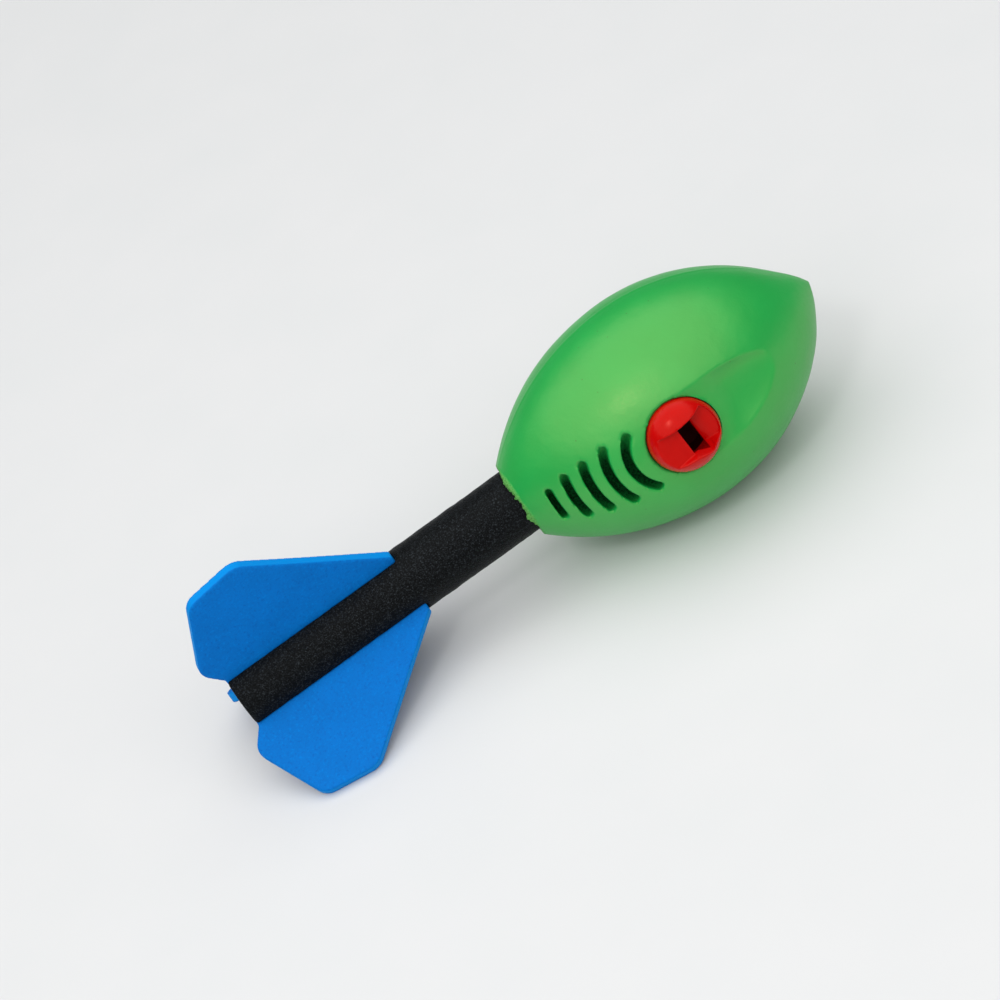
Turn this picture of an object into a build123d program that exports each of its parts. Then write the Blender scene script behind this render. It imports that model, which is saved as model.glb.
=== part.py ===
from build123d import *
import os
from math import acos, asin, atan2, cos, degrees, hypot, radians, sin, sqrt

# A whistling foam throwing dart: a moulded foam head on a foam tube with three flat foam fins.
# All sizes are in millimetres. Each piece is made in the flight frame: X runs along the toy towards
# the nose, X = 0 is the fattest section of the head, and +Z is the side of the top fin.
# At the end the toy is laid down as it rests on a table, on its belly and its two lower fins.

# Foam head
body_radius = 40.5
nose_length = 66.4
tail_length = 62.1
rim_radius = 14.8
tip_radius = 1.3
tip_bevel = 0.6
head_sections = 10

# Foam tube
tube_radius = 12.5
tube_bore_radius = 5.0
tube_free_length = 121.4
socket_depth = 40.0

# Foam fins
fin_thickness = 4.5
fin_root_depth = 4.0
fin_spacing = 120.0
fin_front = 73.1
fin_shoulder = 27.3
fin_shoulder_radius = 50.4
fin_heel = 6.0
fin_heel_radius = 47.5
fin_tail = 6.0
fin_tail_radius = 20.5
fin_nose_height = 3.5
fin_nose_round = 1.5
fin_corner_round = 6.0

# Whistle
whistle_back = 3.15
whistle_angle = 74.5
cap_radius = 13.3
cap_flange = 2.0
dome_height = 8.5
shoulder_height = 4.8
shoulder_radius = 11.0
cup_radius = 12.2
cup_wall = 1.1
cup_depth = 15.0
plug_depth = 4.2
plug_wall = 1.4
trough_width = 11.6
trough_flare = 1.8
trough_reach = 15.0
land_rise = 4.2
land_thickness = 1.4
lip_thickness = 0.4
lip_bevel = 2.2
window_front = 4.4
window_back = 1.2
ramp_thickness = 6.0
ramp_rise = 2.0
ramp_run = 7.4

# Scoop in front of the whistle: the powers shape how late it narrows, shallows and fades out
scoop_length = 41.65
scoop_half_width = 13.8
scoop_depth = 2.7
scoop_edge_drop = 0.8
scoop_run_out = 0.3
scoop_side_power = 2.5
scoop_point_power = 0.6
scoop_floor_power = 3
scoop_edge_power = 4
scoop_stations = 7
scoop_clear = 6.0

# Grooves behind the whistle
groove_spans = (36.0, 39.4, 39.0, 38.2, 30.6)
groove_focus = 8.5
first_groove = 24.8
groove_pitch = 7.95
groove_width = 4.4
groove_depth = 6.0

# Clearances
glue_gap = 0.15
plug_gap = 0.1
end_gap = 0.3

# Places that follow from the sizes
whistle_x = -whistle_back
rim_height = sqrt(body_radius**2 - cap_radius**2)
seat_height = rim_height - cap_flange
land_height = rim_height + land_rise
cup_bottom = seat_height - cup_depth
plug_bottom = seat_height - plug_depth
plug_radius = cup_radius - cup_wall - plug_gap
ramp_foot = plug_bottom + ramp_thickness
tube_end = -tail_length - tube_free_length
tube_front = -tail_length + socket_depth - end_gap
tube_length = tube_front - tube_end
kerf_radius = tube_radius - fin_root_depth


def arc_radius(run, drop):
    """Radius of an arc that starts level and falls by drop over run."""
    return (run**2 + drop**2) / (2 * drop)


nose_arc = arc_radius(nose_length, body_radius - tip_radius)
tail_arc = arc_radius(tail_length, body_radius - rim_radius)


def head_radius(x):
    """Radius of the head at a place along the toy."""
    arc = nose_arc if x > 0 else tail_arc
    return body_radius - arc + sqrt(arc**2 - x**2)


def lengthwise_plane(angle):
    """Plane through the toy's axis: local x to the nose, local y outwards at this angle from the top."""
    a = radians(angle)
    return Plane(origin=(0, 0, 0), x_dir=(1, 0, 0), z_dir=(0, -cos(a), -sin(a)))


def facing_plane(angle, x, height):
    """Plane at this height over the toy's axis, looking outwards, local x to the nose."""
    a = radians(angle)
    return Plane(origin=(x, -height * sin(a), height * cos(a)), x_dir=(1, 0, 0), z_dir=(0, -sin(a), cos(a)))


def cross_plane(angle, x):
    """Plane square to the toy's axis at x, local y outwards at this angle from the top."""
    a = radians(angle)
    return Plane(origin=(x, 0, 0), x_dir=(0, cos(a), sin(a)), z_dir=(1, 0, 0))


whistle_side = lengthwise_plane(whistle_angle)
whistle_axis = Axis((whistle_x, 0, 0), tuple(whistle_side.y_dir))

# Groove cutters: arcs struck about a point behind the whistle, each sunk to its own level
with BuildPart() as groove_cutters:
    for number, span in enumerate(groove_spans):
        turn = (first_groove + number * groove_pitch) / tail_arc
        groove_x = -tail_arc * sin(turn)
        width = groove_width * cos(turn)
        strike = -groove_focus - groove_x
        reach = head_radius(groove_x) * sin(radians(span / 2)) - width / 2
        swing = degrees(asin(reach / strike))
        with BuildSketch(facing_plane(whistle_angle, -groove_focus, head_radius(groove_x) - groove_depth)):
            SlotArc(CenterArc((0, 0), strike, 180 - swing, 2 * swing, mode=Mode.PRIVATE), width)
        extrude(amount=body_radius)

# Scoop cutter: a shallow tapering channel that leads the air down to the whistle's front rim
with BuildPart() as scoop_cutter:
    for station in range(scoop_stations):
        share = station / (scoop_stations - 1)
        x = whistle_x + share * scoop_length
        surface = head_radius(x)
        half_width = scoop_half_width * (1 - share**scoop_side_power) ** scoop_point_power
        half_width = max(half_width, tip_radius / 2)
        edge = sqrt(surface**2 - half_width**2)
        drop = scoop_edge_drop * (1 - share**scoop_edge_power) + scoop_run_out * share
        floor = min(surface - scoop_depth * (1 - share**scoop_floor_power), edge - drop / 2)
        corner = half_width - 2 * drop * half_width / scoop_half_width
        flare = half_width + (half_width - corner) / drop * scoop_clear
        with BuildSketch(cross_plane(whistle_angle, x)):
            with BuildLine():
                ThreePointArc((-corner, edge - drop), (0, floor), (corner, edge - drop))
                Polyline((corner, edge - drop), (flare, edge + scoop_clear), (-flare, edge + scoop_clear),
                         (-corner, edge - drop))
            make_face()
    loft()

# Foam head with its tube socket, whistle pocket, scoop and grooves
with BuildPart() as foam_body:
    for section in range(-head_sections, head_sections + 1):
        arc, run = (nose_arc, nose_length) if section > 0 else (tail_arc, tail_length)
        x = arc * sin(asin(run / arc) * section / head_sections)
        with BuildSketch(Plane.YZ.offset(x)):
            Circle(head_radius(x))
    loft(ruled=True)
    chamfer(foam_body.faces().sort_by(Axis.X)[-1].edges(), tip_bevel)
    add(scoop_cutter.part, mode=Mode.SUBTRACT)
    add(groove_cutters.part, mode=Mode.SUBTRACT)
    with BuildSketch(facing_plane(whistle_angle, whistle_x, seat_height)):
        Circle(cap_radius + end_gap)
    extrude(amount=body_radius, mode=Mode.SUBTRACT)
    with BuildSketch(facing_plane(whistle_angle, whistle_x, cup_bottom - end_gap)):
        Circle(cup_radius + glue_gap)
    extrude(amount=cup_depth + end_gap, mode=Mode.SUBTRACT)
    with BuildSketch(Plane.YZ.offset(-tail_length)):
        Circle(tube_radius + glue_gap)
    extrude(amount=socket_depth, mode=Mode.SUBTRACT)
foam_body.part.label = "foam_body"

# Whistle cup: the closed chamber that rings, glued into the head's pocket
with BuildPart() as whistle_cup:
    with BuildSketch(facing_plane(whistle_angle, whistle_x, cup_bottom)):
        Circle(cup_radius)
    extrude(amount=cup_depth)
    with BuildSketch(facing_plane(whistle_angle, whistle_x, cup_bottom + cup_wall)):
        Circle(cup_radius - cup_wall)
    extrude(amount=cup_depth, mode=Mode.SUBTRACT)
whistle_cup.part.label = "whistle_cup"

# Plan of the trough: narrowest at the whistle's axis and flared towards the rim at both ends
with BuildSketch(facing_plane(whistle_angle, whistle_x, plug_bottom)) as trough_plan:
    with BuildLine():
        flared_side = ThreePointArc(
            (-trough_reach, trough_width / 2 + trough_flare),
            (0, trough_width / 2),
            (trough_reach, trough_width / 2 + trough_flare),
        )
        mirror(about=Plane.XZ)
        Line(flared_side @ 0, (-trough_reach, -trough_width / 2 - trough_flare))
        Line(flared_side @ 1, (trough_reach, -trough_width / 2 - trough_flare))
    make_face()

# Trough cutter: level over the rear land, and down a curved ramp from the front rim to the window
with BuildPart() as trough_cutter:
    with BuildSketch(whistle_side):
        with BuildLine():
            ramp = TangentArc(
                (whistle_x + window_front + ramp_run, rim_height + ramp_rise),
                (whistle_x + window_front, ramp_foot),
                tangent=(-1, 0),
            )
            Polyline(
                ramp @ 1,
                (whistle_x - window_back, land_height),
                (whistle_x - trough_reach, land_height),
                (whistle_x - trough_reach, body_radius + dome_height),
                (whistle_x + trough_reach, body_radius + dome_height),
                (whistle_x + trough_reach, rim_height + ramp_rise),
                ramp @ 0,
            )
        make_face()
    extrude(amount=cap_radius, both=True)
    extrude(trough_plan.sketch, amount=body_radius, mode=Mode.INTERSECT)

# Window cutter: as wide as the trough, from the ramp's foot to the lip
with BuildPart() as window_cutter:
    extrude(trough_plan.sketch, amount=body_radius)
    with BuildSketch(facing_plane(whistle_angle, whistle_x, plug_bottom)):
        with Locations(((window_front - window_back) / 2, 0)):
            Rectangle(window_front + window_back, 2 * cap_radius)
    extrude(amount=body_radius, mode=Mode.INTERSECT)

# Whistle cap: a dome on a flange, with a trough across it that blows air over the window's sharp lip
with BuildPart() as whistle_cap:
    with BuildSketch(whistle_side):
        with BuildLine():
            crown = TangentArc(
                (whistle_x, rim_height + dome_height),
                (whistle_x + shoulder_radius, rim_height + shoulder_height),
                tangent=(1, 0),
            )
            Polyline(
                crown @ 1,
                (whistle_x + cap_radius, rim_height),
                (whistle_x + cap_radius, seat_height),
                (whistle_x, seat_height),
                crown @ 0,
            )
        make_face()
    revolve(axis=whistle_axis)
    with BuildSketch(facing_plane(whistle_angle, whistle_x, plug_bottom)):
        Circle(plug_radius)
    extrude(amount=plug_depth)
    with BuildSketch(facing_plane(whistle_angle, whistle_x, plug_bottom)):
        Circle(plug_radius - plug_wall)
        with Locations((window_front, 0)):
            Rectangle(plug_radius, 2 * plug_radius, align=(Align.MIN, Align.CENTER), mode=Mode.SUBTRACT)
    extrude(amount=land_height - land_thickness - plug_bottom, mode=Mode.SUBTRACT)
    add(trough_cutter.part, mode=Mode.SUBTRACT)
    add(window_cutter.part, mode=Mode.SUBTRACT)
    with BuildSketch(whistle_side):
        with Locations((whistle_x, 0)):
            Polygon(
                (-window_back, land_height - lip_thickness),
                (-window_back - lip_bevel, land_height - land_thickness),
                (-window_back, land_height - land_thickness),
                align=None,
            )
    extrude(amount=trough_width / 2, both=True, mode=Mode.SUBTRACT)
whistle_cap.part.label = "whistle_cap"

# Foam tube with its bore and the three kerfs that hold the fins
with BuildPart() as tail_tube:
    with BuildSketch(Plane.YZ.offset(tube_end)):
        Circle(tube_radius)
        Circle(tube_bore_radius, mode=Mode.SUBTRACT)
    extrude(amount=tube_length)
    for number in range(3):
        with BuildSketch(lengthwise_plane(number * fin_spacing)):
            with Locations((tube_end, kerf_radius)):
                Rectangle(fin_front + glue_gap, tube_radius, align=Align.MIN)
        extrude(amount=fin_thickness / 2 + glue_gap, both=True, mode=Mode.SUBTRACT)
tail_tube.part.label = "tail_tube"

# Foam fins, a third of a turn apart: a swept front edge, an outer edge and a swept-back tail corner
fins = []
for number, fin_name in enumerate(("fin_top", "fin_right", "fin_left")):
    with BuildPart() as fin:
        with BuildSketch(lengthwise_plane(number * fin_spacing)):
            with BuildLine():
                FilletPolyline(
                    (tube_end, kerf_radius),
                    (tube_end + fin_front, kerf_radius),
                    (tube_end + fin_front, tube_radius + fin_nose_height / 2),
                    (tube_end + fin_shoulder, fin_shoulder_radius),
                    (tube_end + fin_heel, fin_heel_radius),
                    (tube_end - fin_tail, fin_tail_radius),
                    (tube_end, tube_radius),
                    radius=(0, fin_nose_round, fin_corner_round, fin_corner_round, fin_corner_round, 0, 0),
                    close=True,
                )
            make_face()
        extrude(amount=fin_thickness / 2, both=True)
    fin.part.label = fin_name
    fins.append(fin)

# Rest pose: the tail drops until the two lower fins and the round belly touch the table together
foot_side = fin_thickness / 2 * sin(radians(fin_spacing))
foot_drop = fin_heel_radius * cos(radians(180 - fin_spacing)) + foot_side
foot_back = -(tube_end + fin_heel)
arc_centre = tail_arc - body_radius
foot_reach = hypot(arc_centre + foot_drop, foot_back)
tilt = degrees(atan2(foot_back, arc_centre + foot_drop) - acos(tail_arc / foot_reach))
pieces = [foam_body, whistle_cap, whistle_cup, tail_tube, *fins]
lying = Location((0, 0, 0), (0, -tilt, 0))
box = Compound([piece.part.moved(lying) for piece in pieces]).bounding_box()
rest_pose = Location((-box.center().X, -box.center().Y, -box.min.Z)) * lying
print("tilt", tilt, "moved by", -box.center().X, -box.center().Y, -box.min.Z, "size", box.size)

os.makedirs("parts", exist_ok=True)
for piece in pieces:
    piece.part.move(rest_pose)
    export_step(piece.part, f"parts/{piece.part.label}.step")
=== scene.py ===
# %% [markdown]
# # A whistling foam throwing dart
# The toy is a moulded foam head on a foam tube, with three flat foam fins at the tail and a red plastic
# whistle let into the head's side. The CAD model is the frame: it fixes every size and place. This lesson
# builds the looks around it. Foam has no sharp edges and no perfect surfaces, so each foam piece is
# modelled again here as a soft, slightly uneven form in the space of its CAD solid.

# %% Load the CAD frame
import math

import bmesh
import bpy
import numpy as np
from mathutils import Euler, Matrix, Vector, noise


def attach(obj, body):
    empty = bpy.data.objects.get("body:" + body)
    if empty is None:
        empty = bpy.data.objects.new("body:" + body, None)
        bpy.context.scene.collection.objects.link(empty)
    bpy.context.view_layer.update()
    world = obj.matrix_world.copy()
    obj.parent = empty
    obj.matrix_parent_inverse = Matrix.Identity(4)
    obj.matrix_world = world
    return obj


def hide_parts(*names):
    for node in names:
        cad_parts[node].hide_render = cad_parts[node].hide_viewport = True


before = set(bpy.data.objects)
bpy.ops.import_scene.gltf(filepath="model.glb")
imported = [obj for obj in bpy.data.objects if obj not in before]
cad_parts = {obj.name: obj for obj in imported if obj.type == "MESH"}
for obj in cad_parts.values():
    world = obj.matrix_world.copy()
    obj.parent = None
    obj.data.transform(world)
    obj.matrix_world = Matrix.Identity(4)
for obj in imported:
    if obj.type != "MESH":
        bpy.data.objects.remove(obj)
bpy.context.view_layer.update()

# %% [markdown]
# ## Sizes
# Blender works in metres, and foam toys are measured in millimetres, so one factor turns one into the
# other. The toy lies on its belly and its two lower fins with its nose a little up. It is far easier to
# model it level, so every piece is built level, along X, and is then tilted and moved into its place.
# The whistle looks out at 74.5 degrees from the top fin, and pieces round it are built with it facing up.

# %% Sizes shared by the pieces
MM = 0.001
HEAD_RADIUS = 40.5 * MM
NOSE_LENGTH = 66.4 * MM
TAIL_LENGTH = 62.1 * MM
RIM_RADIUS = 14.8 * MM
TIP_RADIUS = 1.3 * MM
TUBE_RADIUS = 12.5 * MM
TUBE_BORE = 5.0 * MM
TUBE_END = -TAIL_LENGTH - 121.4 * MM
TUBE_FRONT = -TAIL_LENGTH + 39.7 * MM
FIN_THICKNESS = 4.5 * MM
FIN_FRONT = TUBE_END + 73.1 * MM
FIN_ROOT = 8.5 * MM
WHISTLE_X = -3.15 * MM
WHISTLE_TURN = math.radians(74.5)
VIEW_TURN = math.radians(52)
CAP_RADIUS = 13.3 * MM
REST_TILT = math.radians(4.868776)
REST_MOVE = Vector((62.1682 * MM, 0.5834 * MM, 40.6691 * MM))
ALONG_X = (0, math.pi / 2, 0)
ROUND_SIDES = 96


def rest_matrix(turn=0.0):
    """From a piece's own building frame, turned this far about the toy, to its place at rest."""
    tilt = Euler((0, -REST_TILT, 0)).to_matrix().to_4x4()
    return Matrix.Translation(REST_MOVE) @ tilt @ Matrix.Rotation(turn, 4, "X")


def deselect():
    """Leaves edit mode and deselects everything: an operator acts on all that is selected."""
    if bpy.context.object and bpy.context.object.mode != "OBJECT":
        bpy.ops.object.mode_set(mode="OBJECT")
    bpy.ops.object.select_all(action="DESELECT")


def pick(obj):
    """Makes obj the only selected object, and the active one."""
    deselect()
    obj.select_set(True)
    bpy.context.view_layer.objects.active = obj
    return obj


def named(name):
    """Names the object just added and bakes its place into its mesh."""
    obj = bpy.context.object
    obj.name = name
    bpy.ops.object.transform_apply(location=True, rotation=True, scale=True)
    return obj


def edit(obj):
    """Opens obj in edit mode."""
    pick(obj)
    bpy.ops.object.mode_set(mode="EDIT")


def select_where(obj, test, kind="FACE"):
    """In edit mode, selects the faces, edges or vertices whose middle and direction pass the test."""
    bpy.ops.mesh.select_mode(type=kind)
    bpy.ops.mesh.select_all(action="DESELECT")
    bm = bmesh.from_edit_mesh(obj.data)
    bm.normal_update()
    if kind == "FACE":
        found = [f for f in bm.faces if test(f.calc_center_median(), f.normal)]
    elif kind == "EDGE":
        ends = [(e, e.verts[0].co, e.verts[1].co) for e in bm.edges]
        found = [e for e, start, stop in ends if test((start + stop) / 2, (stop - start).normalized())]
    else:
        found = [v for v in bm.verts if test(v.co, v.normal)]
    for item in found:
        item.select = True
    bm.select_flush_mode()
    bmesh.update_edit_mesh(obj.data)


def apply_modifier(obj, kind, **settings):
    """Adds a modifier, sets it and applies it."""
    pick(obj)
    bpy.ops.object.modifier_add(type=kind)
    modifier = obj.modifiers[-1]
    for key, value in settings.items():
        setattr(modifier, key, value)
    bpy.ops.object.modifier_apply(modifier=modifier.name)


def cut(obj, *cutters):
    """Cuts each cutter away from obj, and removes the cutter."""
    for cutter in cutters:
        apply_modifier(obj, "BOOLEAN", operation="DIFFERENCE", solver="MANIFOLD", object=cutter)
        bpy.data.objects.remove(cutter)


def close_up(obj):
    """Merges doubles and points every face outwards."""
    edit(obj)
    bpy.ops.mesh.select_all(action="SELECT")
    bpy.ops.mesh.remove_doubles(threshold=0.001 * MM)
    bpy.ops.mesh.normals_make_consistent(inside=False)
    bpy.ops.object.mode_set(mode="OBJECT")


def get_points(obj):
    """The mesh's points, one row each."""
    points = np.empty(len(obj.data.vertices) * 3)
    obj.data.vertices.foreach_get("co", points)
    return points.reshape(-1, 3)


def set_points(obj, points):
    """Moves the mesh's points to these places."""
    obj.data.vertices.foreach_set("co", points.ravel())
    obj.data.update()


def smooth_step(low, high, value):
    """Rises from 0 at low to 1 at high, level at both ends."""
    share = np.clip((value - low) / (high - low), 0, 1)
    return share * share * (3 - 2 * share)


def lumps(points, size, seed):
    """Soft random lumps of this size, from -1 to 1, the same on every run."""
    shift = Vector((seed, 2.3 * seed, -1.7 * seed))
    return np.array([noise.noise(Vector(p) / size + shift) for p in points])


def stretch_round(points, scale):
    """Moves each point away from the toy's axis, or towards it, by its own scale."""
    points[:, 1] *= scale
    points[:, 2] *= scale


def settle(obj, turn, material, slot, *nodes):
    """Puts a finished piece in its place, gives it its finish and lets it stand for its CAD nodes."""
    obj.matrix_world = rest_matrix(turn)
    pick(obj)
    bpy.ops.object.transform_apply(location=True, rotation=True, scale=True)
    bpy.ops.object.shade_smooth()
    obj.data.materials.clear()
    obj.data.materials.append(material)
    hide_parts(*nodes)
    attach(obj, "root")
    print(obj.name, "faces", len(obj.data.polygons), "points", len(obj.data.vertices))


deselect()

# %% [markdown]
# ## Materials
# Every finish is made of nodes that read Object coordinates, so a pattern stays put on its piece and
# keeps its real scale. The first helper starts a Principled material. The others add one thing each:
# a noise, a colour that the noise drives, and a bump. They keep each recipe short enough to read.


# %% Helpers for materials
def new_material(name, **sockets):
    """A Principled material with these values on its shader's sockets."""
    material = bpy.data.materials.new(name)
    material.use_nodes = True
    shader = material.node_tree.nodes["Principled BSDF"]
    for socket, value in sockets.items():
        shader.inputs[socket.replace("_", " ")].default_value = value
    return material, material.node_tree, shader


def toy_coordinates(tree):
    """Coordinates level with the toy: the Mapping node takes off the tilt and the move of its rest."""
    place = tree.nodes.new("ShaderNodeTexCoord")
    level = tree.nodes.new("ShaderNodeMapping")
    level.vector_type = "TEXTURE"
    level.inputs["Location"].default_value = REST_MOVE
    level.inputs["Rotation"].default_value = (0, -REST_TILT, 0)
    tree.links.new(place.outputs["Object"], level.inputs["Vector"])
    return level.outputs["Vector"]


def noise_node(tree, vector, size, detail=3.0, roughness=0.5):
    """Noise whose lumps are about this size."""
    node = tree.nodes.new("ShaderNodeTexNoise")
    node.inputs["Scale"].default_value = 1 / size
    node.inputs["Detail"].default_value = detail
    node.inputs["Roughness"].default_value = roughness
    tree.links.new(vector, node.inputs["Vector"])
    return node.outputs["Fac"]


def cell_node(tree, vector, size):
    """Rounded cells of about this size, as in foam."""
    node = tree.nodes.new("ShaderNodeTexVoronoi")
    node.inputs["Scale"].default_value = 1 / size
    tree.links.new(vector, node.inputs["Vector"])
    return node.outputs["Distance"]


def remap(tree, value, low, high, to_low=0, to_high=1):
    """Turns one range of a value into another."""
    node = tree.nodes.new("ShaderNodeMapRange")
    for socket, number in zip(("From Min", "From Max", "To Min", "To Max"), (low, high, to_low, to_high)):
        node.inputs[socket].default_value = number
    tree.links.new(value, node.inputs["Value"])
    return node.outputs["Result"]


def mix_colour(tree, factor, first, second):
    """A colour between first and second. Each may be a colour or another node's output."""
    node = tree.nodes.new("ShaderNodeMix")
    node.data_type = "RGBA"
    tree.links.new(factor, node.inputs["Factor"])
    for socket, colour in ((node.inputs[6], first), (node.inputs[7], second)):
        if isinstance(colour, tuple):
            socket.default_value = (*colour, 1)
        else:
            tree.links.new(colour, socket)
    return node.outputs[2]


def combine(tree, operation, first, second):
    """A Math node on two values, each a number or another node's output."""
    node = tree.nodes.new("ShaderNodeMath")
    node.operation = operation
    for socket, value in zip(node.inputs, (first, second)):
        if isinstance(value, (int, float)):
            socket.default_value = value
        else:
            tree.links.new(value, socket)
    return node.outputs["Value"]


def attribute(tree, name):
    """A value painted on the mesh's points."""
    node = tree.nodes.new("ShaderNodeAttribute")
    node.attribute_name = name
    return node.outputs["Fac"]


def add_bump(tree, shader, height, depth, strength=1.0, under=None):
    """Bumps of this depth in metres, on top of another bump."""
    node = tree.nodes.new("ShaderNodeBump")
    node.inputs["Strength"].default_value = strength
    node.inputs["Distance"].default_value = depth
    tree.links.new(height, node.inputs["Height"])
    if under:
        tree.links.new(under, node.inputs["Normal"])
    tree.links.new(node.outputs["Normal"], shader.inputs["Normal"])
    return node.outputs["Normal"]


# %% [markdown]
# ### Green foam skin
# The head is polyurethane foam that made its own skin against the mould. The skin is satin: a big soft
# light washes it to a paler, yellower green, which the tinted specular gives. It has fine pores and a
# few pinholes. At the torn neck open cells show. In the grooves and pockets the foam is dull, and there
# its colour and its specular tint are darkened with depth as painted shade. The mesh carries painted
# values that the finish reads: "torn" for the neck, and "inside", the painted shade.

# %% Green foam skin
YELLOW_SHEEN = (1.0, 0.88, 0.40)
foam_green, tree, shader = new_material(
    "moulded_green_foam", IOR=1.6, Specular_IOR_Level=0.75, Specular_Tint=(*YELLOW_SHEEN, 1))
spot = toy_coordinates(tree)
mottle = noise_node(tree, spot, 18 * MM, 4)
skin = mix_colour(tree, remap(tree, mottle, 0.3, 0.7), (0.0, 0.362, 0.060), (0.001, 0.395, 0.069))
pinholes = remap(tree, cell_node(tree, spot, 6 * MM), 0.035, 0.06, 1, 0)
skin = mix_colour(tree, combine(tree, "MULTIPLY", pinholes, 0.55), skin, (0.005, 0.11, 0.02))
torn = attribute(tree, "torn")
cells = cell_node(tree, spot, 0.7 * MM)
open_foam = mix_colour(tree, remap(tree, cells, 0.1, 0.6), (0.02, 0.22, 0.03), (0.09, 0.38, 0.08))
skin = mix_colour(tree, torn, skin, open_foam)
# Painted shade: the "inside" value darkens the colour with depth, in two steps, to near black deepest
inside = attribute(tree, "inside")
painted_groove_shade = mix_colour(tree, remap(tree, cells, 0.2, 0.7), (0.0005, 0.014, 0.004), (0.002, 0.060, 0.012))
groove_shade_start = remap(tree, inside, 0, 0.5)
skin = mix_colour(tree, groove_shade_start, skin, (0.006, 0.19, 0.03))
skin = mix_colour(tree, remap(tree, inside, 0.35, 1), skin, painted_groove_shade)
tree.links.new(skin, shader.inputs["Base Color"])
# Painted shade: the specular tint is darkened inside the grooves and pockets too
gloss = mix_colour(tree, remap(tree, inside, 0, 0.6), YELLOW_SHEEN, (0.02, 0.06, 0.02))
tree.links.new(gloss, shader.inputs["Specular Tint"])
grain = noise_node(tree, spot, 0.9 * MM, 5, 0.6)
opened = combine(tree, "MAXIMUM", torn, inside)
dullness = combine(tree, "MULTIPLY", opened, 0.5)
rough = combine(tree, "ADD", remap(tree, grain, 0.3, 0.7, 0.35, 0.43), dullness)
tree.links.new(rough, shader.inputs["Roughness"])
soft = add_bump(tree, shader, noise_node(tree, spot, 5 * MM, 2), 0.25 * MM, 0.5)
fine = add_bump(tree, shader, grain, 0.06 * MM, 0.5, soft)
open_height = combine(tree, "MULTIPLY", opened, cells)
add_bump(tree, shader, open_height, 0.5 * MM, 0.8, fine)
print("green foam:", len(tree.nodes), "nodes")

# %% [markdown]
# ### Red whistle plastic
# The whistle is glossy injection-moulded plastic. Its gloss comes from a low roughness, and a very soft
# wave in the surface, the sink marks of thick plastic, keeps its highlights from looking like chrome.

# %% Red whistle plastic
whistle_red, tree, shader = new_material(
    "glossy_red_plastic", Specular_IOR_Level=0.45, Specular_Tint=(1.0, 0.26, 0.20, 1))
spot = toy_coordinates(tree)
tint = mix_colour(tree, noise_node(tree, spot, 7 * MM), (0.50, 0.001, 0.001), (0.60, 0.002, 0.002))
tree.links.new(tint, shader.inputs["Base Color"])
rough = remap(tree, noise_node(tree, spot, 0.6 * MM, 4), 0.3, 0.7, 0.18, 0.27)
tree.links.new(rough, shader.inputs["Roughness"])
wave = add_bump(tree, shader, noise_node(tree, spot, 3.5 * MM, 1), 0.12 * MM, 0.5)
add_bump(tree, shader, noise_node(tree, spot, 0.35 * MM, 3), 0.01 * MM, 0.5, wave)
print("red plastic:", len(tree.nodes), "nodes")

# %% [markdown]
# ### The chamber's red, darkened as painted shade
# The chamber is seen only through the window, where it lies in shade and looks black. The same red plastic
# is given a darker and duller red, painted shade that keeps it so under bright studio light.

# %% The chamber's red, darkened as painted shade
chamber_red_painted_shade, tree, shader = new_material("red_plastic_painted_shade", Roughness=0.5, Specular_IOR_Level=0.2)
spot = toy_coordinates(tree)
# Painted shade: the chamber's red is darkened to stand for the shade it lies in
painted_shade_red = mix_colour(tree, noise_node(tree, spot, 3 * MM, 3), (0.05, 0.0004, 0.0006), (0.09, 0.001, 0.001))
tree.links.new(painted_shade_red, shader.inputs["Base Color"])
add_bump(tree, shader, noise_node(tree, spot, 1.2 * MM, 3), 0.05 * MM, 0.5)
print("chamber red:", len(tree.nodes), "nodes")

# %% [markdown]
# ### Black tube foam
# The tube is extruded polyethylene foam. Its skin is a net of tiny closed cells whose glints of light are
# painted into its colour as grey specks, and the extruder and the cooling rolls leave faint rings across it.

# %% Black tube foam
tube_black, tree, shader = new_material("black_tube_foam", Specular_IOR_Level=0.08)
spot = toy_coordinates(tree)
cells = cell_node(tree, spot, 0.45 * MM)
mottle = noise_node(tree, spot, 0.6 * MM, 4, 0.7)
# Painted glints: grey specks in the base colour stand in for light caught by the cells
painted_glint_speck = combine(tree, "MULTIPLY", remap(tree, cells, 0.3, 0.55), remap(tree, mottle, 0.48, 0.66))
black = mix_colour(tree, painted_glint_speck, (0.0006, 0.0011, 0.0014), (0.032, 0.038, 0.043))
tree.links.new(black, shader.inputs["Base Color"])
tree.links.new(remap(tree, mottle, 0.35, 0.65, 0.32, 0.6), shader.inputs["Roughness"])
ripple = add_bump(tree, shader, noise_node(tree, spot, 2.2 * MM, 4), 0.35 * MM, 0.6)
add_bump(tree, shader, cells, 0.2 * MM, 0.9, ripple)
print("black foam:", len(tree.nodes), "nodes")

# %% [markdown]
# ### Blue sheet foam
# The fins are stamped from a sheet of EVA foam. It is matt and very even, with a fine grain that shows
# only close up, and its cut edges are a little paler because the blade opens the cells there.

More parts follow.
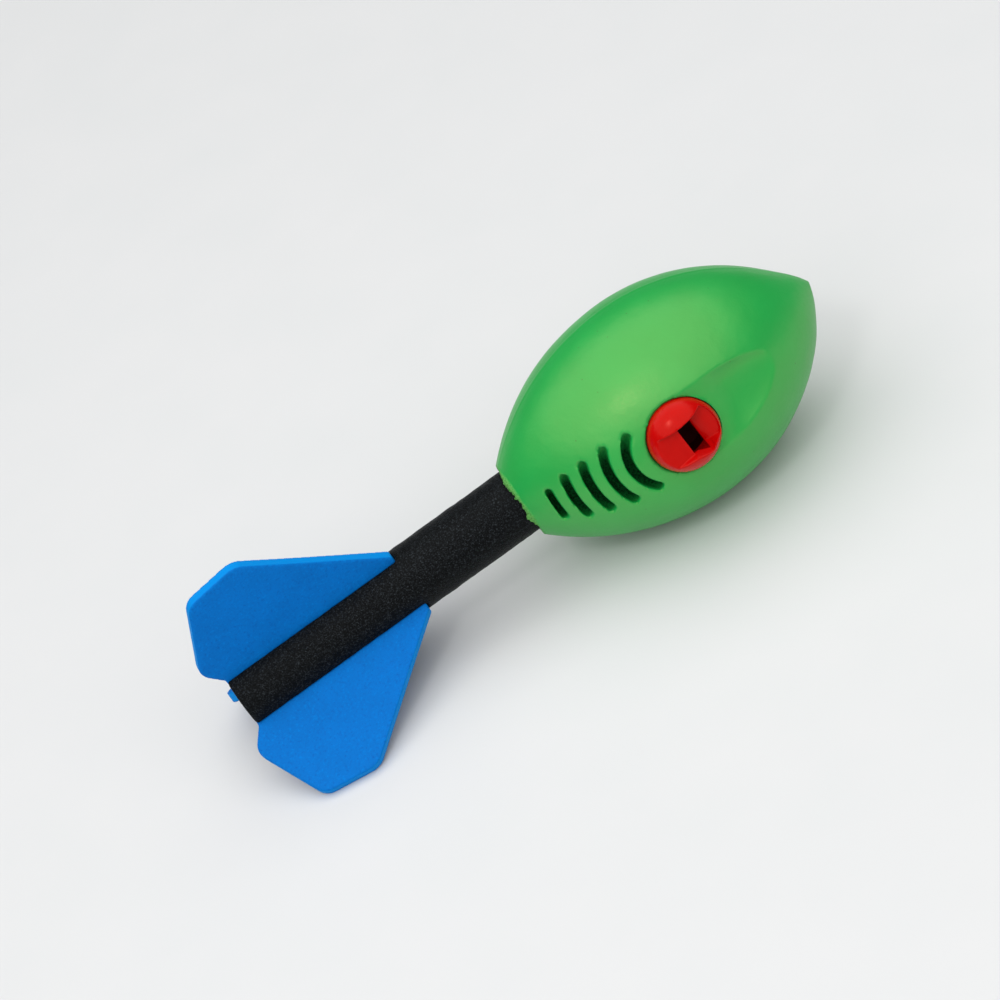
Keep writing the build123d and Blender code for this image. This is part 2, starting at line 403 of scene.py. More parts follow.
# %% Blue sheet foam
fin_blue, tree, shader = new_material("blue_sheet_foam", Specular_IOR_Level=0.08)
spot = toy_coordinates(tree)
grain = noise_node(tree, spot, 0.9 * MM, 4, 0.65)
cloud = noise_node(tree, spot, 9 * MM, 3)
sheet = mix_colour(tree, remap(tree, cloud, 0.3, 0.7), (0.0, 0.150, 0.53), (0.0, 0.165, 0.58))
sheet = mix_colour(tree, remap(tree, grain, 0.55, 0.75, 0, 0.7), sheet, (0.0, 0.235, 0.72))
sheet = mix_colour(tree, remap(tree, grain, 0.45, 0.28, 0, 0.7), sheet, (0.0, 0.09, 0.40))
cut_edge = attribute(tree, "cut_edge")
sheet = mix_colour(tree, cut_edge, sheet, (0.0, 0.26, 0.74))
tree.links.new(sheet, shader.inputs["Base Color"])
tree.links.new(remap(tree, grain, 0.3, 0.7, 0.55, 0.7), shader.inputs["Roughness"])
soft = add_bump(tree, shader, cloud, 0.3 * MM, 0.3)
add_bump(tree, shader, grain, 0.09 * MM, 0.9, soft)
print("blue foam:", len(tree.nodes), "nodes")

# %% [markdown]
# ## The head's form
# The head is an ogive: two arcs meet at the fattest place. By hand it is made as a turner would: start
# with the disc at the rear rim, then extrude it forward ring by ring and resize each ring to the arc.
# Rings at equal steps along each arc keep the faces even.

# %% The head's form, ring by ring
SIDES = 160
RINGS = 30


def arc_radius(run, drop):
    """Radius of an arc that starts level and falls by drop over run."""
    return (run**2 + drop**2) / (2 * drop)


NOSE_ARC = arc_radius(NOSE_LENGTH, HEAD_RADIUS - TIP_RADIUS)
TAIL_ARC = arc_radius(TAIL_LENGTH, HEAD_RADIUS - RIM_RADIUS)


def head_radius(x):
    """Radius of the head at x, for one number or many."""
    arc = np.where(x > 0, NOSE_ARC, TAIL_ARC)
    return HEAD_RADIUS - arc + np.sqrt(np.maximum(arc**2 - np.square(x), 0))


def ring_places():
    """Where along the toy each ring stands, at equal steps along each arc."""
    tail = [-TAIL_ARC * math.sin(math.asin(TAIL_LENGTH / TAIL_ARC) * (1 - k / RINGS)) for k in range(RINGS)]
    nose = [NOSE_ARC * math.sin(math.asin(NOSE_LENGTH / NOSE_ARC) * k / RINGS) for k in range(RINGS + 1)]
    return tail + nose


bpy.ops.mesh.primitive_circle_add(
    vertices=SIDES, radius=RIM_RADIUS, fill_type="NGON", location=(-TAIL_LENGTH, 0, 0), rotation=ALONG_X)
head = named("foam_head")
edit(head)
bpy.ops.mesh.select_all(action="SELECT")
places = ring_places()
for x_from, x_to in zip(places, places[1:]):
    growth = float(head_radius(x_to) / head_radius(x_from))
    bpy.ops.mesh.extrude_region_move(TRANSFORM_OT_translate={"value": (x_to - x_from, 0, 0)})
    bpy.ops.transform.resize(value=(1, growth, growth), center_override=(x_to, 0, 0))
close_up(head)
print("head form:", len(head.data.polygons), "faces")

# %% [markdown]
# ## Pockets and grooves
# The whistle sits in a stepped round pocket, the tube in a deep socket, and behind the whistle are five
# curved grooves. Each groove cutter is a bent bar: a face is spun round an upright axis, and the bar's
# four upright end edges are bevelled until its ends are round. Its floor rises towards the ends, most at
# the end near the top fin, so the grooves run out softly. The last one is narrower. The mould opens
# straight out from the whistle, so all the walls are parallel to its axis.

# %% Pockets and grooves
RIM_HEIGHT = math.sqrt(HEAD_RADIUS**2 - CAP_RADIUS**2)
SEAT_HEIGHT = RIM_HEIGHT - 2.0 * MM
CUP_FLOOR = SEAT_HEIGHT - 15.3 * MM
CUP_POCKET_RADIUS = 12.35 * MM
ABOVE_THE_HEAD = 60 * MM
GROOVE_SPANS = (36.0, 39.4, 39.0, 38.2, 30.6)
GROOVE_WIDTHS = 4 * (3.4 * MM,) + (3.0 * MM,)
GROOVE_DEPTH = 6.0 * MM
GROOVE_FOCUS = -8.5 * MM
FIRST_GROOVE = 24.8 * MM
GROOVE_PITCH = 7.95 * MM
GROOVE_END = 0.7 * MM
GROOVE_SHIFT = 0.35 * MM
RISE_BY_FIN = 3.3 * MM
RISE_FAR_END = 0.9 * MM
BAR_HEIGHT = 20 * MM


def pocket(name, radius, bottom, top):
    """A round cutter on the whistle's axis."""
    bpy.ops.mesh.primitive_cylinder_add(
        vertices=ROUND_SIDES, radius=radius, depth=top - bottom, location=(WHISTLE_X, 0, (top + bottom) / 2))
    return named(name)


def groove_cutter(number, span, full_width):
    """A bar bent about the focus behind the whistle, with round ends, sunk to its groove's depth."""
    turn = (FIRST_GROOVE + number * GROOVE_PITCH) / TAIL_ARC
    x = -TAIL_ARC * math.sin(turn)
    width = full_width * math.cos(turn)
    strike = GROOVE_FOCUS - x
    surface = float(head_radius(x))
    reach = surface * math.sin(math.radians(span / 2)) + GROOVE_END
    swing = math.asin(reach / strike)
    floor = surface - GROOVE_DEPTH
    middle = (x, 0, floor + BAR_HEIGHT / 2)
    bpy.ops.mesh.primitive_plane_add(size=1, location=middle, rotation=(math.pi / 2, 0, 0))
    bar = named(f"groove_cutter_{number}")
    edit(bar)
    bpy.ops.mesh.select_all(action="SELECT")
    bpy.ops.transform.resize(value=(width, 1, BAR_HEIGHT), center_override=middle)
    bpy.ops.transform.rotate(value=-swing, orient_axis="Z", center_override=(GROOVE_FOCUS, 0, 0))
    bpy.ops.mesh.spin(steps=24, angle=2 * swing, center=(GROOVE_FOCUS, 0, 0), axis=(0, 0, 1))
    bpy.ops.object.mode_set(mode="OBJECT")
    close_up(bar)
    edit(bar)
    select_where(bar, lambda place, way: abs(way.z) > 0.9 and abs(place.y) > reach - 0.8 * width, "EDGE")
    bpy.ops.mesh.bevel(offset=width * 0.48, segments=6, affect="EDGES")
    bpy.ops.object.mode_set(mode="OBJECT")
    points = get_points(bar)
    end = np.abs(points[:, 1] / reach)
    rise = np.where(points[:, 1] > 0, RISE_BY_FIN * end**1.5, RISE_FAR_END * end**2.5)
    points[:, 2] += np.where(points[:, 2] < floor + 1 * MM, rise, 0)
    points[:, 1] -= GROOVE_SHIFT
    set_points(bar, points)
    return bar


cut(head, pocket("flange_cutter", CAP_RADIUS + 0.35 * MM, SEAT_HEIGHT, ABOVE_THE_HEAD),
    pocket("cup_cutter", CUP_POCKET_RADIUS, CUP_FLOOR, ABOVE_THE_HEAD))
for number, (span, full_width) in enumerate(zip(GROOVE_SPANS, GROOVE_WIDTHS)):
    cut(head, groove_cutter(number, span, full_width))

# The socket ends 40 mm inside the rim, and its cutter starts 20 mm outside
bpy.ops.mesh.primitive_cylinder_add(
    vertices=ROUND_SIDES, radius=TUBE_RADIUS + 0.15 * MM, depth=60 * MM,
    location=(-TAIL_LENGTH + 10 * MM, 0, 0), rotation=ALONG_X)
cut(head, named("socket_cutter"))
print("head after cutting:", len(head.data.polygons), "faces")

# %% [markdown]
# ## Softening the foam
# A voxel remesh turns the cut form into an even net of small faces, and a smoothing pass rounds every
# edge by about the size of a face, as the skin of moulded foam does. Remeshing leaves the big surface a
# hair uneven, which a satin finish would show, so points close to the true ogive are put back on it.

# %% Softening the foam
apply_modifier(head, "REMESH", mode="VOXEL", voxel_size=0.72 * MM)
apply_modifier(head, "SMOOTH", factor=0.5, iterations=3)
points = get_points(head)


def snap_to_ogive(points):
    """Puts points less than 0.08 mm off the ogive back on it, and those up to 0.3 mm off partly."""
    x = points[:, 0]
    radius = np.hypot(points[:, 1], points[:, 2])
    target = head_radius(np.clip(x, -TAIL_LENGTH, NOSE_LENGTH))
    off = target - radius
    near = 1 - smooth_step(0.08 * MM, 0.3 * MM, np.abs(off))
    near *= smooth_step(-TAIL_LENGTH, -TAIL_LENGTH + 1.5 * MM, x)
    near *= 1 - smooth_step(NOSE_LENGTH - 2.5 * MM, NOSE_LENGTH - 1 * MM, x)
    stretch_round(points, 1 + near * off / np.maximum(radius, 1 * MM))


snap_to_ogive(points)
print("remeshed head:", len(points), "points")

# %% [markdown]
# ## Scoop, nose, seam and torn neck
# These forms are soft, so they are pushed into the dense mesh by formula, like strokes of a sculpting
# brush. The scoop is a kite-shaped, round-bottomed hollow that leads the air to the whistle, and its side
# towards the top fin is the steeper one. The nose leans a little to one side, and its tip is trimmed. A
# faint seam runs where the two halves of the mould met. At the neck the foam that squeezed out past the
# tube was torn off and left a ragged edge.

# %% Scoop, nose, seam and torn neck
SCOOP_LENGTH = 41.65 * MM
SCOOP_HALF_WIDTH = 13.8 * MM
SCOOP_HOLLOW = 2.9 * MM
HOLLOW_AT_WHISTLE = 0.4 * MM
SCOOP_DRIFT = 2.0 * MM
SCOOP_SOFTNESS = 0.3 * MM
SEAM_HEIGHT = 0.22 * MM
SEAM_WIDTH = 0.55 * MM
NOSE_LEAN = 1.9 * MM
LEAN_LENGTH = 14 * MM
TRIM_DEPTH = 1.1 * MM


def scoop_drop(points):
    """How far each point sinks: a round-bottomed hollow, deepest a little towards the top fin."""
    x, y, z = points.T
    share = np.clip((x - WHISTLE_X) / SCOOP_LENGTH, 0, 1)
    surface = head_radius(x)
    across = y - SCOOP_DRIFT * share**2
    half_width = SCOOP_HALF_WIDTH * (1 - share**2.5) ** 0.6 + 0.1 * MM
    edge = np.sqrt(np.maximum(surface**2 - half_width**2, 0))
    growth = (SCOOP_HOLLOW - HOLLOW_AT_WHISTLE) * smooth_step(0.3, 0.55, share)
    hollow = (HOLLOW_AT_WHISTLE + growth) * (1 - share**4)
    deepest = 0.4 * half_width
    reach = np.where(across > deepest, half_width - deepest, half_width + deepest)
    floor = edge - hollow * (1 - ((across - deepest) / reach) ** 2)
    over = z - floor
    sink = 0.5 * (over + np.sqrt(over**2 + SCOOP_SOFTNESS**2)) - 0.5 * SCOOP_SOFTNESS
    inside = (z > 0) * (x > WHISTLE_X) * (1 - smooth_step(0.94, 1.0, share))
    inside *= 1 - smooth_step(half_width + 0.5 * MM, half_width + 2.5 * MM, np.abs(across))
    return np.maximum(sink, 0) * inside


def paint(obj, name, values):
    """Stores one value for each point of the mesh, for a material to read."""
    layer = obj.data.attributes.new(name, "FLOAT", "POINT")
    layer.data.foreach_set("value", np.clip(values, 0, 1).astype(np.float32))


x, y, z = points.T
radius = np.hypot(y, z)
depth_under_skin = head_radius(np.clip(x, -TAIL_LENGTH, NOSE_LENGTH)) - radius
on_skin = 1 - smooth_step(0.3 * MM, 0.9 * MM, depth_under_skin)
sink = scoop_drop(points) * on_skin
seam = SEAM_HEIGHT * np.exp(-np.square(z / SEAM_WIDTH)) * on_skin
swell = 0.14 * MM * lumps(points, 22 * MM, 3) + 0.05 * MM * lumps(points, 7 * MM, 5)
change = (seam + swell * on_skin) / np.maximum(radius, 1 * MM)
points[:, 1] += y * change
points[:, 2] += z * change - sink
shade_inside = np.clip((depth_under_skin - 0.6 * MM) / (4.2 * MM), 0, 1)

# Nose: it leans towards the top fin's side, and its trimmed facet faces forward and away from that side
fin_side = Matrix.Rotation(VIEW_TURN - math.pi / 2 - WHISTLE_TURN, 3, "X") @ Vector((0, 0, 1))
tip_share = smooth_step(NOSE_LENGTH - LEAN_LENGTH, NOSE_LENGTH, points[:, 0]) ** 2
points += np.outer(tip_share, np.array(fin_side) * NOSE_LEAN)
facet = (Vector((1, 0, 0)) * 0.94 - fin_side * 0.34).normalized()
over = points @ np.array(facet) - (NOSE_LENGTH * 0.94 - TRIM_DEPTH)
points -= np.outer(np.maximum(over, 0) * 0.9, np.array(facet))


def tear(angle):
    """How ragged the torn edge is at this angle round the neck: broad tears with fine ones on them."""
    broad = noise.noise(Vector((angle * 5.0, 0.5, 7.7)))
    fine = noise.noise(Vector((angle * 16.0, 3.1, 0.2)))
    return broad + 0.6 * fine


# Neck: torn foam stretched back over the tube on the side that faces the camera
around = np.arctan2(points[:, 1], points[:, 2]) * -1 + WHISTLE_TURN - VIEW_TURN
around = (around + math.pi) % (2 * math.pi) - math.pi
at_rim = 1 - smooth_step(-TAIL_LENGTH, -TAIL_LENGTH + 2.2 * MM, points[:, 0])
at_rim *= (1 - smooth_step(14.2 * MM, 15.4 * MM, radius)) * (radius > 12.0 * MM)
ragged = np.array([tear(angle) for angle in around])
facing = 1 - smooth_step(math.radians(42), math.radians(62), np.abs(around + math.radians(4)))
torn_pull = np.clip(1.1 + 1.4 * ragged, 0, 2.3)
even_pull = np.clip(0.3 * ragged, 0, 0.4)
points[:, 0] -= at_rim * (facing * torn_pull + (1 - facing) * even_pull) * MM
skin_starts = -TAIL_LENGTH + 0.8 * MM + 0.6 * MM * ragged
near_rim = 1 - smooth_step(-TAIL_LENGTH - 0.3 * MM, skin_starts, points[:, 0])
set_points(head, points)
paint(head, "torn", near_rim * smooth_step(0.1, 0.5, facing + 0.35))
# The "inside" value is painted shade: the deeper under the skin, the darker the grooves and pockets
paint(head, "inside", shade_inside * (1 - near_rim))
settle(head, WHISTLE_TURN, foam_green, "head_foam", "foam_body")

# %% [markdown]
# ## The whistle's cap
# The cap is a dome on a flange, with a plug under it. Its disc is extruded up ring by ring along a
# quarter of an ellipse, which gives a flat crown and a steep skirt. The trough's cutter is a ribbon whose
# leading edge is extruded along the trough's floor and resized as it goes: level over the rear land, down
# at the window, and up again over the round ramp. The ribbon is then extruded upwards into a solid, whose
# lower wall leans outwards. Moulded plastic has small round edges, so the cap gets a fine remesh, and the
# ridges beside the trough are smoothed once more by a vertex group. The cap is glued in by hand, and this
# one sits a few degrees askew.

# %% The whistle's cap
DOME_HEIGHT = 8.5 * MM
DOME_RINGS = 18
LAND_HEIGHT = RIM_HEIGHT + 4.7 * MM
PLUG_BOTTOM = SEAT_HEIGHT - 4.2 * MM
PLUG_RADIUS = 11.0 * MM
CAP_WALL = 1.4 * MM
RAMP_FOOT = PLUG_BOTTOM + 6.0 * MM
RAMP_TOP = RIM_HEIGHT + 2.0 * MM
RAMP_RUN = 7.4 * MM
WINDOW_FRONT = 4.4 * MM
WINDOW_BACK = 1.2 * MM
TROUGH_WIDTH = 11.6 * MM
TROUGH_FLARE = 1.8 * MM
TROUGH_REACH = 15.0 * MM
TROUGH_CLOSED = 0.8 * MM
CUTTER_HEIGHT = 30 * MM
SPOON_RADIUS = 12.1 * MM
LOWER_SET = 0.3 * MM
LOWER_LEAN = 0.6
CAP_TWIST = math.radians(3.3)


def extrude_by(offset):
    """Extrudes what is selected, and leaves the new faces or edges selected."""
    bpy.ops.mesh.extrude_region_move(TRANSFORM_OT_translate={"value": offset})


bpy.ops.mesh.primitive_circle_add(
    vertices=128, radius=CAP_RADIUS, fill_type="NGON", location=(WHISTLE_X, 0, SEAT_HEIGHT))
cap = named("whistle_dome")
edit(cap)
bpy.ops.mesh.select_all(action="SELECT")
extrude_by((0, 0, RIM_HEIGHT - SEAT_HEIGHT))
reach, level = CAP_RADIUS, RIM_HEIGHT
for ring in range(1, DOME_RINGS + 1):
    lean = math.pi / 2 * ring / (DOME_RINGS + 0.5)
    next_reach = CAP_RADIUS * math.cos(lean)
    next_level = RIM_HEIGHT + DOME_HEIGHT * math.sin(lean)
    extrude_by((0, 0, next_level - level))
    growth = next_reach / reach
    bpy.ops.transform.resize(value=(growth, growth, 1), center_override=(WHISTLE_X, 0, next_level))
    reach, level = next_reach, next_level
bpy.ops.object.mode_set(mode="OBJECT")
close_up(cap)
edit(cap)
select_where(cap, lambda middle, normal: normal.z < -0.9)
bpy.ops.mesh.inset(thickness=CAP_RADIUS - PLUG_RADIUS)
extrude_by((0, 0, PLUG_BOTTOM - SEAT_HEIGHT))
bpy.ops.object.mode_set(mode="OBJECT")
close_up(cap)


def trough_width(x):
    """The trough flares towards both ends, and in front the ramp closes in a round spoon inside the rim."""
    along = x - WHISTLE_X
    flared = TROUGH_WIDTH + 2 * TROUGH_FLARE * (along / TROUGH_REACH) ** 2
    if along < 0:
        return flared
    return min(flared, 2 * math.sqrt(max(SPOON_RADIUS**2 - along**2, TROUGH_CLOSED**2)))


def trough_cutter():
    """A ribbon along the trough's floor, resized at every step, then extruded upwards."""
    stops = [(WHISTLE_X - behind * MM, LAND_HEIGHT) for behind in (15, 12, 9, 6, 3)]
    stops.append((WHISTLE_X - WINDOW_BACK, LAND_HEIGHT))
    ramp = arc_radius(RAMP_RUN, RAMP_TOP - RAMP_FOOT)
    run_out = SPOON_RADIUS - WINDOW_FRONT - 0.02 * MM
    for step in range(13):
        along = run_out * math.sin(math.pi / 2 * step / 12)
        fall = ramp - math.sqrt(ramp**2 - max(RAMP_RUN - along, 0) ** 2)
        stops.append((WHISTLE_X + WINDOW_FRONT + along, RAMP_TOP - fall))
    x, z = stops[0]
    bpy.ops.mesh.primitive_plane_add(size=1, location=(x - 1 * MM, 0, z))
    ribbon = named("trough_cutter")
    edit(ribbon)
    bpy.ops.mesh.select_all(action="SELECT")
    bpy.ops.transform.resize(value=(2 * MM, trough_width(x), 1), center_override=(x - 1 * MM, 0, z))
    select_where(ribbon, lambda middle, way: abs(middle.x - x) < 0.01 * MM, "EDGE")
    for next_x, next_z in stops[1:]:
        extrude_by((next_x - x, 0, next_z - z))
        growth = trough_width(next_x) / trough_width(x)
        bpy.ops.transform.resize(value=(1, growth, 1), center_override=(next_x, 0, next_z))
        x, z = next_x, next_z
    bpy.ops.mesh.select_all(action="SELECT")
    extrude_by((0, 0, CUTTER_HEIGHT))
    bpy.ops.object.mode_set(mode="OBJECT")
    close_up(ribbon)
    points = get_points(ribbon)
    fade = (points[:, 1] < 0) * (1 - smooth_step(WHISTLE_X + 5 * MM, WHISTLE_X + 10.5 * MM, points[:, 0]))
    lean = np.where(points[:, 2] > RIM_HEIGHT + 20 * MM, LOWER_LEAN * CUTTER_HEIGHT, 0)
    points[:, 1] -= fade * (LOWER_SET + lean)
    set_points(ribbon, points)
    return ribbon


def window_cutter():
    """As wide as the trough, from the ramp's foot to the rear land."""
    bpy.ops.mesh.primitive_cube_add(
        size=1, location=(WHISTLE_X + (WINDOW_FRONT - WINDOW_BACK) / 2, -LOWER_SET / 2, RIM_HEIGHT),
        scale=(WINDOW_FRONT + WINDOW_BACK, TROUGH_WIDTH + LOWER_SET, 20 * MM))
    return named("window_cutter")


def mouth_cutter():
    """The chamber's mouth under the rear land: a round recess with its front cut off."""
    mouth = pocket("mouth_cutter", PLUG_RADIUS - CAP_WALL, PLUG_BOTTOM - 5 * MM, LAND_HEIGHT - CAP_WALL)
    edit(mouth)
    bpy.ops.mesh.select_all(action="SELECT")
    bpy.ops.mesh.bisect(
        plane_co=(WHISTLE_X + WINDOW_FRONT, 0, 0), plane_no=(1, 0, 0), use_fill=True, clear_outer=True)
    bpy.ops.object.mode_set(mode="OBJECT")
    return mouth


cut(cap, trough_cutter(), window_cutter(), mouth_cutter())
apply_modifier(cap, "REMESH", mode="VOXEL", voxel_size=0.2 * MM)
apply_modifier(cap, "SMOOTH", factor=0.5, iterations=5)

# The ridges beside the trough stand above the land, and in front of the window above the ramp
points = get_points(cap)
above_land = smooth_step(LAND_HEIGHT + 1.0 * MM, LAND_HEIGHT + 1.8 * MM, points[:, 2])
above_ramp = smooth_step(RAMP_TOP - 0.5 * MM, RAMP_TOP + 0.3 * MM, points[:, 2])
in_front = smooth_step(WHISTLE_X + 6 * MM, WHISTLE_X + 8 * MM, points[:, 0])
ridge = np.maximum(above_land, in_front * above_ramp)
group = cap.vertex_groups.new(name="ridge")
for index in np.flatnonzero(ridge > 0.02):
    group.add([int(index)], float(ridge[index]), "REPLACE")
apply_modifier(cap, "SMOOTH", factor=0.5, iterations=30, vertex_group="ridge")

# The whole cap turns by its twist
points = get_points(cap)
along, across = points[:, 0] - WHISTLE_X, points[:, 1].copy()
points[:, 0] = WHISTLE_X + along * math.cos(CAP_TWIST) - across * math.sin(CAP_TWIST)
points[:, 1] = along * math.sin(CAP_TWIST) + across * math.cos(CAP_TWIST)
set_points(cap, points)
settle(cap, WHISTLE_TURN, whistle_red, "whistle_plastic", "whistle_cap")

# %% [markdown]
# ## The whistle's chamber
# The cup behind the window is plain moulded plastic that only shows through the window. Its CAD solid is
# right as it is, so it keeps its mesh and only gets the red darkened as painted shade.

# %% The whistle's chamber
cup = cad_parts["whistle_cup"]
cup.data.materials.clear()
cup.data.materials.append(chamber_red_painted_shade)
print("cup faces", len(cup.data.polygons))

# %% [markdown]
# ## The tube
# The tube starts as a cylinder. A thinner one is cut out of it for the bore, and three kerfs are cut for
# the fins. Foam that is sawn to length has a soft rim, and its skin is never quite round: shallow rings
# from the extruder and a few dents are pushed into the dense mesh.

# %% The tube
KERF_GAP = 0.3 * MM
KERF_OVERRUN = 10 * MM
TUBE_MIDDLE = ((TUBE_FRONT + TUBE_END) / 2, 0, 0)

bpy.ops.mesh.primitive_cylinder_add(
    vertices=128, radius=TUBE_RADIUS, depth=TUBE_FRONT - TUBE_END, location=TUBE_MIDDLE, rotation=ALONG_X)
tube = named("foam_tube")
bpy.ops.mesh.primitive_cylinder_add(
    vertices=64, radius=TUBE_BORE, depth=200 * MM, location=TUBE_MIDDLE, rotation=ALONG_X)
cut(tube, named("bore_cutter"))


def kerf_cutter(turn):
    """A slab for one fin's root, which runs past the tube's end and its skin."""
    bpy.ops.mesh.primitive_cube_add(
        size=1, location=((TUBE_END + FIN_FRONT - KERF_OVERRUN) / 2, 0, FIN_ROOT + KERF_OVERRUN / 2),
        scale=(FIN_FRONT - TUBE_END + KERF_OVERRUN + KERF_GAP, FIN_THICKNESS + KERF_GAP, KERF_OVERRUN))
    kerf = named("kerf_cutter")
    kerf.matrix_world = Matrix.Rotation(turn, 4, "X")
    pick(kerf)
    bpy.ops.object.transform_apply(location=True, rotation=True, scale=True)
    return kerf


for number in range(3):
    cut(tube, kerf_cutter(math.radians(120 * number)))
apply_modifier(tube, "REMESH", mode="VOXEL", voxel_size=0.6 * MM)
apply_modifier(tube, "SMOOTH", factor=0.5, iterations=3)
points = get_points(tube)
radius = np.hypot(points[:, 1], points[:, 2])
skin = smooth_step(TUBE_RADIUS - 0.9 * MM, TUBE_RADIUS - 0.3 * MM, radius)
rings = np.array([noise.noise(Vector((p[0] / (2.4 * MM), 0.2 * p[1] / MM, 0.2 * p[2] / MM))) for p in points])
dents = 0.10 * MM * lumps(points, 6 * MM, 11) + 0.03 * MM * lumps(points, 1.6 * MM, 13)
move = skin * (0.10 * MM * rings + dents - 0.08 * MM)
stretch_round(points, 1 + move / np.maximum(radius, 1 * MM))
set_points(tube, points)
settle(tube, 0.0, tube_black, "tube_foam", "tail_tube")

# %% [markdown]
# ## The fins
# A fin is a flat blade with seven corners. A seven-sided disc has its corners moved to the outline, its
# outer corners are bevelled round, and it is extruded to the sheet's thickness. A remesh and a smoothing
# pass give it the soft edges of stamped foam. It is modelled once and copied, and each copy bends a
# little out of its plane in its own way.

# %% The fins
FIN_OUTLINE = (
    (TUBE_END, FIN_ROOT),
    (FIN_FRONT, FIN_ROOT),
    (FIN_FRONT, 14.25 * MM),
    (TUBE_END + 27.3 * MM, 50.4 * MM),
    (TUBE_END + 6.0 * MM, 47.5 * MM),
    (TUBE_END - 6.0 * MM, 20.5 * MM),
    (TUBE_END, TUBE_RADIUS),
)
CORNERS = len(FIN_OUTLINE)
FIN_MIDDLE = Vector((-150 * MM, 0, 30 * MM))
CORNER_BEVEL = 3.2 * MM
BENDS = {"top": 0.9 * MM, "right": -0.7 * MM, "left": 0.6 * MM}

bpy.ops.mesh.primitive_circle_add(
    vertices=CORNERS, radius=20 * MM, fill_type="NGON", location=FIN_MIDDLE, rotation=(math.pi / 2, 0, 0))
blade = named("fin_blade")
order = sorted(blade.data.vertices, key=lambda v: math.atan2(v.co.z - FIN_MIDDLE.z, v.co.x - FIN_MIDDLE.x))
start = min(range(CORNERS), key=lambda k: order[k].co.x + order[k].co.z)
for k, (x, z) in enumerate(FIN_OUTLINE):
    order[(start + k) % CORNERS].co = (x, -FIN_THICKNESS / 2, z)
edit(blade)
select_where(blade, lambda place, way: place.z > 19 * MM, "VERT")
bpy.ops.mesh.bevel(offset=CORNER_BEVEL, segments=6, affect="VERTICES")
bpy.ops.mesh.select_all(action="SELECT")
extrude_by((0, FIN_THICKNESS, 0))
bpy.ops.object.mode_set(mode="OBJECT")
close_up(blade)
apply_modifier(blade, "REMESH", mode="VOXEL", voxel_size=0.5 * MM)
apply_modifier(blade, "SMOOTH", factor=0.5, iterations=4)

flat_points = get_points(blade)
for number, (side, bend) in enumerate(BENDS.items()):
    pick(blade)
    bpy.ops.object.duplicate()
    fin = bpy.context.object
    fin.name = f"fin_blade_{side}"
    points = flat_points.copy()
    cut_edge = smooth_step(0.25 * MM, 0.7 * MM, FIN_THICKNESS / 2 - np.abs(points[:, 1]))
    out = np.maximum(points[:, 2] - TUBE_RADIUS, 0) / (38 * MM)
    points[:, 1] += bend * out**2 + 0.12 * MM * lumps(points, 14 * MM, 20 + number)
    set_points(fin, points)
    paint(fin, "cut_edge", cut_edge)
    settle(fin, math.radians(120 * number), fin_blue, "fin_foam", f"fin_{side}")
bpy.data.objects.remove(blade)

# %% [markdown]
# ## Floor, light and camera
# The floor is a plain pale sheet. The camera looks square at the toy's side, 52 degrees round from the
# top fin, and is rolled so that the nose points up and to the right. A very large soft light hangs between
# the camera and the top fin's side, where it lays a broad sheen along the head that ends before the nose
# and the neck. A small one beside the camera puts the bright spot on the whistle's dome.

# %% Floor
bpy.ops.mesh.primitive_plane_add(size=6, location=(0, 0, 0))
floor = named("floor")
paper, tree, shader = new_material("pale_floor", Roughness=0.9, Specular_IOR_Level=0.2)
fibre = noise_node(tree, toy_coordinates(tree), 40 * MM, 2)
tree.links.new(mix_colour(tree, fibre, (0.70, 0.71, 0.71), (0.73, 0.73, 0.73)), shader.inputs["Base Color"])
floor.data.materials.append(paper)

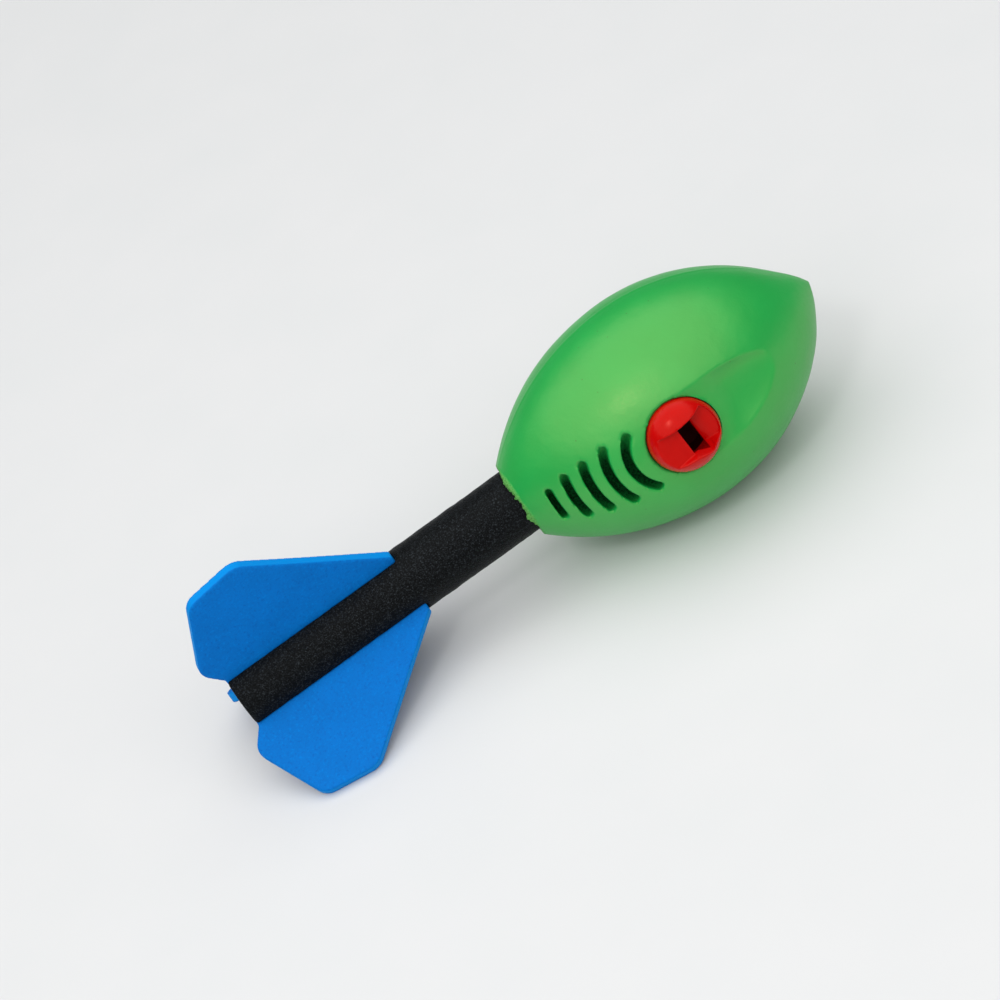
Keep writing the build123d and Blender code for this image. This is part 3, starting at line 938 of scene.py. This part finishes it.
# %% Camera and lights
TO_NOSE = rest_matrix().to_3x3() @ Vector((1, 0, 0))
TO_CAMERA = rest_matrix(VIEW_TURN).to_3x3() @ Vector((0, 0, 1))
TO_FIN_SIDE = TO_CAMERA.cross(TO_NOSE)
ROLL = math.radians(35.68)
DISTANCE = 1.2
SHOWN_WIDTH = 0.355
SENSOR_WIDTH = 36
aim = rest_matrix() @ Vector((-67.8 * MM, 0, 0)) + TO_FIN_SIDE * 4.1 * MM
right = TO_NOSE * math.cos(ROLL) - TO_FIN_SIDE * math.sin(ROLL)
up = TO_NOSE * math.sin(ROLL) + TO_FIN_SIDE * math.cos(ROLL)
turned = Matrix((right, up, TO_CAMERA)).transposed()
bpy.ops.object.camera_add(location=aim + TO_CAMERA * DISTANCE, rotation=turned.to_euler())
camera = bpy.context.object
camera.data.sensor_width = SENSOR_WIDTH
camera.data.lens = SENSOR_WIDTH * DISTANCE / SHOWN_WIDTH
bpy.context.scene.camera = camera


def soft_light(name, direction, distance, length, width, power):
    """A soft light that looks at the toy's head from this direction, its length along the toy."""
    away = direction.normalized()
    along = (TO_NOSE - away * TO_NOSE.dot(away)).normalized()
    turned = Matrix((along, away.cross(along), away)).transposed()
    place = rest_matrix() @ Vector((-20 * MM, 0, 0)) + away * distance
    bpy.ops.object.light_add(type="AREA", location=place, rotation=turned.to_euler())
    lamp = bpy.context.object
    lamp.name = name
    lamp.data.shape = "RECTANGLE"
    lamp.data.size = length
    lamp.data.size_y = width
    lamp.data.energy = power


soft_light("overhead", TO_CAMERA * 0.74 + TO_FIN_SIDE * 0.67 + TO_NOSE * 0.01,
           distance=1.6, length=4.2, width=4.8, power=94)
soft_light("key", TO_CAMERA * 0.92 + TO_FIN_SIDE * 0.33 - TO_NOSE * 0.22,
           distance=1.5, length=0.26, width=0.26, power=2.3)
world = bpy.data.worlds.new("studio")
bpy.context.scene.world = world
world.use_nodes = True
world.node_tree.nodes["Background"].inputs["Color"].default_value = (0.93, 0.96, 1.0, 1)
world.node_tree.nodes["Background"].inputs["Strength"].default_value = 0.1
bpy.context.scene.view_settings.view_transform = "Standard"
print("camera at", [round(v, 3) for v in camera.location], "lens", round(camera.data.lens, 1))
